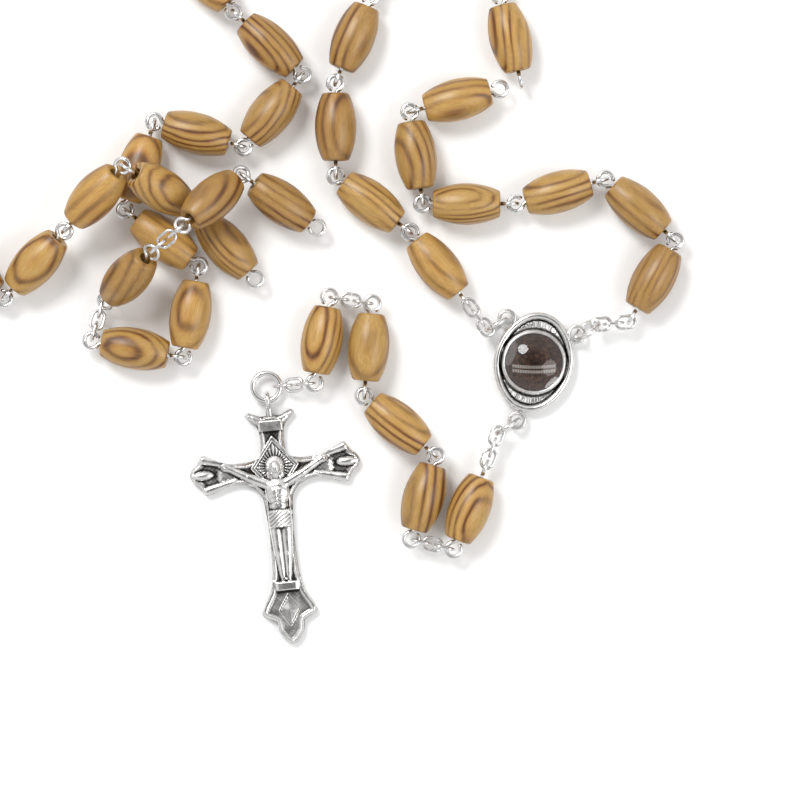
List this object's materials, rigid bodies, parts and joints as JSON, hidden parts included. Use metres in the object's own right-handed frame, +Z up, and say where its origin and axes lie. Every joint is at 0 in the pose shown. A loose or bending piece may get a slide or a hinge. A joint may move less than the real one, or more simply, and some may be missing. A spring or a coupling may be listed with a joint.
{
  "type": "rosary",
  "caption": "Rosary of barrel-shaped olive-wood beads on silver eye pins and chain links, with an oval centrepiece holding a domed capsule and a pendant ending in a crucifix.",
  "frame": {"origin": "middle of the centrepiece's flat back, which lies on the table", "axes": "+Z up from the table; +Y from the centrepiece towards the far end of the ring; +X to the right of the centrepiece"},
  "size_m": [0.1247, 0.2091, 0.0145],
  "materials": {
    "olive_wood": "smooth, waxed",
    "silver_wire": "polished wire",
    "cast_silver": "polished casting with darkened recesses",
    "soil": "fine grains",
    "clear_lens": "clear, polished"
  },
  "bodies": {
    "centrepiece": {"medal_body": "cast_silver", "soil_disc": "soil", "capsule_lens": "clear_lens"},
    "far_run": {"upper_beads": "olive_wood", "upper_pins": "silver_wire", "upper_links": "silver_wire", "turn_beads": "olive_wood", "turn_pins": "silver_wire", "outer_beads": "olive_wood", "outer_pins": "silver_wire", "outer_links": "silver_wire", "tail_beads": "olive_wood", "tail_pins": "silver_wire"},
    "under": {"under_beads": "olive_wood", "under_pins": "silver_wire"},
    "father_chain_1": {"father_chain_1": "silver_wire"},
    "father": {"father_bead": "olive_wood", "father_pin": "silver_wire"},
    "father_chain_2": {"father_chain_2": "silver_wire"},
    "over": {"over_beads": "olive_wood", "over_pins": "silver_wire"},
    "crucifix_ring": {"crucifix_ring": "silver_wire"},
    "crucifix": {"crucifix": "cast_silver"},
    "pendant_ring": {"pendant_ring": "silver_wire"},
    "pendant_pin_1": {"pendant_pin_1": "silver_wire"},
    "pendant_bead_1": {"pendant_bead_1": "olive_wood"},
    "pendant_pin_2": {"pendant_pin_2": "silver_wire"},
    "pendant_bead_2": {"pendant_bead_2": "olive_wood"},
    "pendant_pin_3": {"pendant_pin_3": "silver_wire"},
    "pendant_bead_3": {"pendant_bead_3": "olive_wood"},
    "pendant_pin_4": {"pendant_pin_4": "silver_wire"},
    "pendant_bead_4": {"pendant_bead_4": "olive_wood"},
    "pendant_pin_5": {"pendant_pin_5": "silver_wire"},
    "pendant_bead_5": {"pendant_bead_5": "olive_wood"},
    "right_ring": {"right_ring": "silver_wire"},
    "right_pin_1": {"right_pin_1": "silver_wire"},
    "right_bead_1": {"right_bead_1": "olive_wood"},
    "right_pin_2": {"right_pin_2": "silver_wire"},
    "right_bead_2": {"right_bead_2": "olive_wood"},
    "right_pin_3": {"right_pin_3": "silver_wire"},
    "right_bead_3": {"right_bead_3": "olive_wood"},
    "right_pin_4": {"right_pin_4": "silver_wire"},
    "right_bead_4": {"right_bead_4": "olive_wood"},
    "right_pin_5": {"right_pin_5": "silver_wire"},
    "right_bead_5": {"right_bead_5": "olive_wood"},
    "right_pin_6": {"right_pin_6": "silver_wire"},
    "right_bead_6": {"right_bead_6": "olive_wood"},
    "left_ring": {"left_ring": "silver_wire"},
    "left_pin_1": {"left_pin_1": "silver_wire"},
    "left_bead_1": {"left_bead_1": "olive_wood"},
    "left_pin_2": {"left_pin_2": "silver_wire"},
    "left_bead_2": {"left_bead_2": "olive_wood"},
    "left_pin_3": {"left_pin_3": "silver_wire"},
    "left_bead_3": {"left_bead_3": "olive_wood"},
    "pendant_chain_1": {"pendant_chain_1": "silver_wire"},
    "pendant_chain_2": {"pendant_chain_2": "silver_wire"},
    "pendant_chain_3": {"pendant_chain_3": "silver_wire"},
    "pendant_chain_4": {"pendant_chain_4": "silver_wire"},
    "right_chain": {"right_chain": "silver_wire"},
    "left_chain": {"left_chain": "silver_wire"}
  },
  "joints": [
    {"name": "pendant_ring_swing", "type": "hinge", "parent": "centrepiece", "child": "pendant_ring", "pos_m": [-0.0027, -0.0094, 0.0017], "axis": [0, 0, 1], "range_deg": [-1.5, 3.5]},
    {"name": "pendant_chain_1_swing", "type": "hinge", "parent": "pendant_ring", "child": "pendant_chain_1", "pos_m": [-0.00585, -0.0114, 0.0034], "axis": [0, 0.0001, 1], "range_deg": [-1.5, 3.5]},
    {"name": "pendant_pin_1_swing", "type": "hinge", "parent": "pendant_chain_1", "child": "pendant_pin_1", "pos_m": [-0.00754, -0.01611, 0.0034], "axis": [0, 0.0001, 1], "range_deg": [-1.5, 3.5]},
    {"name": "pendant_chain_2_lift", "type": "hinge", "parent": "pendant_pin_1", "child": "pendant_chain_2", "pos_m": [-0.01393, -0.02997, 0.0034], "axis": [0.2319, 0.9727, 0], "range_deg": [0, 6]},
    {"name": "pendant_pin_2_swing", "type": "hinge", "parent": "pendant_chain_2", "child": "pendant_pin_2", "pos_m": [-0.01977, -0.02858, 0.0034], "axis": [0, 0, 1], "range_deg": [-0.5, 3.5]},
    {"name": "pendant_pin_3_swing", "type": "hinge", "parent": "pendant_pin_2", "child": "pendant_pin_3", "pos_m": [-0.01581, -0.01505, 0.0034], "axis": [0, 0, 1], "range_deg": [-3, 3.5]},
    {"name": "pendant_pin_4_swing", "type": "hinge", "parent": "pendant_pin_3", "child": "pendant_pin_4", "pos_m": [-0.02738, -0.00551, 0.0034], "axis": [0, 0, 1], "range_deg": [-4, 4]},
    {"name": "pendant_chain_3_swing", "type": "hinge", "parent": "pendant_pin_4", "child": "pendant_chain_3", "pos_m": [-0.02605, 0.00943, 0.0034], "axis": [0, 0, 1], "range_deg": [-2.5, 1]},
    {"name": "pendant_pin_5_swing", "type": "hinge", "parent": "pendant_chain_3", "child": "pendant_pin_5", "pos_m": [-0.03297, 0.0105, 0.0034], "axis": [0, 0, 1], "range_deg": [-4, 1]},
    {"name": "pendant_chain_4_swing", "type": "hinge", "parent": "pendant_pin_5", "child": "pendant_chain_4", "pos_m": [-0.03539, -0.00339, 0.0034], "axis": [0, 0, 1], "range_deg": [-7, 6]},
    {"name": "crucifix_ring_swing", "type": "hinge", "parent": "pendant_chain_4", "child": "crucifix_ring", "pos_m": [-0.0432, -0.00398, 0.0015], "axis": [-0.0002, 0, 1], "range_deg": [-10, 6]},
    {"name": "crucifix_lift", "type": "hinge", "parent": "crucifix_ring", "child": "crucifix", "pos_m": [-0.04297, -0.00617, 0.0015], "axis": [-0.9945, -0.1045, 0], "range_deg": [0, 31]},
    {"name": "right_ring_swing", "type": "hinge", "parent": "centrepiece", "child": "right_ring", "pos_m": [0.0069, 0.0045, 0.0017], "axis": [0, 0, 1], "range_deg": [-0.5, 0.5]},
    {"name": "right_chain_swing", "type": "hinge", "parent": "right_ring", "child": "right_chain", "pos_m": [0.01029, 0.00605, 0.0034], "axis": [-0.0001, 0, 1], "range_deg": [-0.5, 0.5]},
    {"name": "right_pin_1_lift", "type": "hinge", "parent": "right_chain", "child": "right_pin_1", "pos_m": [0.01577, 0.00731, 0.0034], "axis": [0.8689, -0.4949, 0], "range_deg": [0, 8]},
    {"name": "right_pin_2_lift", "type": "hinge", "parent": "right_pin_1", "child": "right_pin_2", "pos_m": [0.02208, 0.02016, 0.0034], "axis": [0.6619, 0.7496, 0], "range_deg": [0, 7]},
    {"name": "right_pin_3_lift", "type": "hinge", "parent": "right_pin_2", "child": "right_pin_3", "pos_m": [0.01064, 0.02925, 0.0034], "axis": [-0.2654, 0.9642, 0], "range_deg": [0, 8]},
    {"name": "right_pin_4_lift", "type": "hinge", "parent": "right_pin_3", "child": "right_pin_4", "pos_m": [-0.00385, 0.02551, 0.0034], "axis": [-0.0008, 1, 0], "range_deg": [0, 8]},
    {"name": "right_pin_5_lift", "type": "hinge", "parent": "right_pin_4", "child": "right_pin_5", "pos_m": [-0.01808, 0.02639, 0.0034], "axis": [0.9902, 0.1397, 0], "range_deg": [0, 14]},
    {"name": "right_pin_6_lift", "type": "hinge", "parent": "right_pin_5", "child": "right_pin_6", "pos_m": [-0.01918, 0.04057, 0.0034], "axis": [0.2431, -0.97, 0], "range_deg": [0, 21]},
    {"name": "left_ring_swing", "type": "hinge", "parent": "centrepiece", "child": "left_ring", "pos_m": [-0.0043, 0.0071, 0.0017], "axis": [0, 0, 1], "range_deg": [-0.5, 0.5]},
    {"name": "left_chain_swing", "type": "hinge", "parent": "left_ring", "child": "left_chain", "pos_m": [-0.00751, 0.00519, 0.0034], "axis": [0, -0.0001, 1], "range_deg": [-0.5, 0.5]},
    {"name": "left_pin_1_swing", "type": "hinge", "parent": "left_chain", "child": "left_pin_1", "pos_m": [-0.01052, 0.00919, 0.0034], "axis": [0, -0.0001, 1], "range_deg": [-0.5, 0.5]},
    {"name": "left_pin_2_swing", "type": "hinge", "parent": "left_pin_1", "child": "left_pin_2", "pos_m": [-0.01997, 0.02096, 0.0034], "axis": [0, 0, 1], "range_deg": [-1.5, 1.5]},
    {"name": "left_pin_3_swing", "type": "hinge", "parent": "left_pin_2", "child": "left_pin_3", "pos_m": [-0.03196, 0.02997, 0.0034], "axis": [0, 0, 1], "range_deg": [-1.5, 1.5]},
    {"name": "far_run_swing", "type": "hinge", "parent": "left_pin_3", "child": "far_run", "pos_m": [-0.032, 0.04497, 0.0034], "axis": [0, 0, 1], "range_deg": [-0.5, 1.5]},
    {"name": "under_lift", "type": "hinge", "parent": "far_run", "child": "under", "pos_m": [-0.06526, 0.02401, 0.0034], "axis": [-0.6029, -0.7978, 0], "range_deg": [0, 4]},
    {"name": "father_chain_1_lift", "type": "hinge", "parent": "under", "child": "father_chain_1", "pos_m": [-0.07103, 0.00443, 0.0034], "axis": [0.9643, -0.2648, 0], "range_deg": [0, 10]},
    {"name": "father_lift", "type": "hinge", "parent": "father_chain_1", "child": "father", "pos_m": [-0.06973, 0.00917, 0.0025], "axis": [0.9643, -0.2648, 0], "range_deg": [0, 10]},
    {"name": "father_chain_2_lift", "type": "hinge", "parent": "father", "child": "father_chain_2", "pos_m": [-0.06056, 0.01793, 0.01241], "axis": [0.6473, -0.7623, 0], "range_deg": [0, 12]},
    {"name": "over_lift", "type": "hinge", "parent": "father_chain_2", "child": "over", "pos_m": [-0.05679, 0.02113, 0.0132], "axis": [0.6473, -0.7623, 0], "range_deg": [0, 20]},
    {"name": "pendant_bead_1_spin", "type": "hinge", "parent": "pendant_pin_1", "child": "pendant_bead_1", "pos_m": [-0.01043, -0.02362, 0.0034], "axis": [-0.3591, -0.9333, 0], "continuous": true},
    {"name": "pendant_bead_2_spin", "type": "hinge", "parent": "pendant_pin_2", "child": "pendant_bead_2", "pos_m": [-0.01779, -0.02181, 0.0034], "axis": [0.2812, 0.9597, 0], "continuous": true},
    {"name": "pendant_bead_3_spin", "type": "hinge", "parent": "pendant_pin_3", "child": "pendant_bead_3", "pos_m": [-0.02194, -0.00999, 0.0034], "axis": [-0.7718, 0.6359, 0], "continuous": true},
    {"name": "pendant_bead_4_spin", "type": "hinge", "parent": "pendant_pin_4", "child": "pendant_bead_4", "pos_m": [-0.02668, 0.00241, 0.0034], "axis": [0.0888, 0.996, 0], "continuous": true},
    {"name": "pendant_bead_5_spin", "type": "hinge", "parent": "pendant_pin_5", "child": "pendant_bead_5", "pos_m": [-0.03418, 0.00355, 0.0034], "axis": [-0.172, -0.9851, 0], "continuous": true},
    {"name": "right_bead_1_spin", "type": "hinge", "parent": "right_pin_1", "child": "right_bead_1", "pos_m": [0.01926, 0.01344, 0.0034], "axis": [0.4949, 0.8689, 0], "continuous": true},
    {"name": "right_bead_2_spin", "type": "hinge", "parent": "right_pin_2", "child": "right_bead_2", "pos_m": [0.01679, 0.02483, 0.0034], "axis": [-0.7496, 0.6619, 0], "continuous": true},
    {"name": "right_bead_3_spin", "type": "hinge", "parent": "right_pin_3", "child": "right_bead_3", "pos_m": [0.00384, 0.02738, 0.0034], "axis": [-0.9642, -0.2654, 0], "continuous": true},
    {"name": "right_bead_4_spin", "type": "hinge", "parent": "right_pin_4", "child": "right_bead_4", "pos_m": [-0.0109, 0.02551, 0.0034], "axis": [-1, -0.0008, 0], "continuous": true},
    {"name": "right_bead_5_spin", "type": "hinge", "parent": "right_pin_5", "child": "right_bead_5", "pos_m": [-0.01906, 0.03337, 0.0034], "axis": [-0.1397, 0.9902, 0], "continuous": true},
    {"name": "right_bead_6_spin", "type": "hinge", "parent": "right_pin_6", "child": "right_bead_6", "pos_m": [-0.01234, 0.04229, 0.0034], "axis": [0.97, 0.2431, 0], "continuous": true},
    {"name": "left_bead_1_spin", "type": "hinge", "parent": "left_pin_1", "child": "left_bead_1", "pos_m": [-0.01556, 0.01546, 0.0034], "axis": [-0.626, 0.7799, 0], "continuous": true},
    {"name": "left_bead_2_spin", "type": "hinge", "parent": "left_pin_2", "child": "left_bead_2", "pos_m": [-0.02633, 0.02574, 0.0034], "axis": [-0.7995, 0.6007, 0], "continuous": true},
    {"name": "left_bead_3_spin", "type": "hinge", "parent": "left_pin_3", "child": "left_bead_3", "pos_m": [-0.03198, 0.03792, 0.0034], "axis": [-0.0025, 1, 0], "continuous": true}
  ]
}
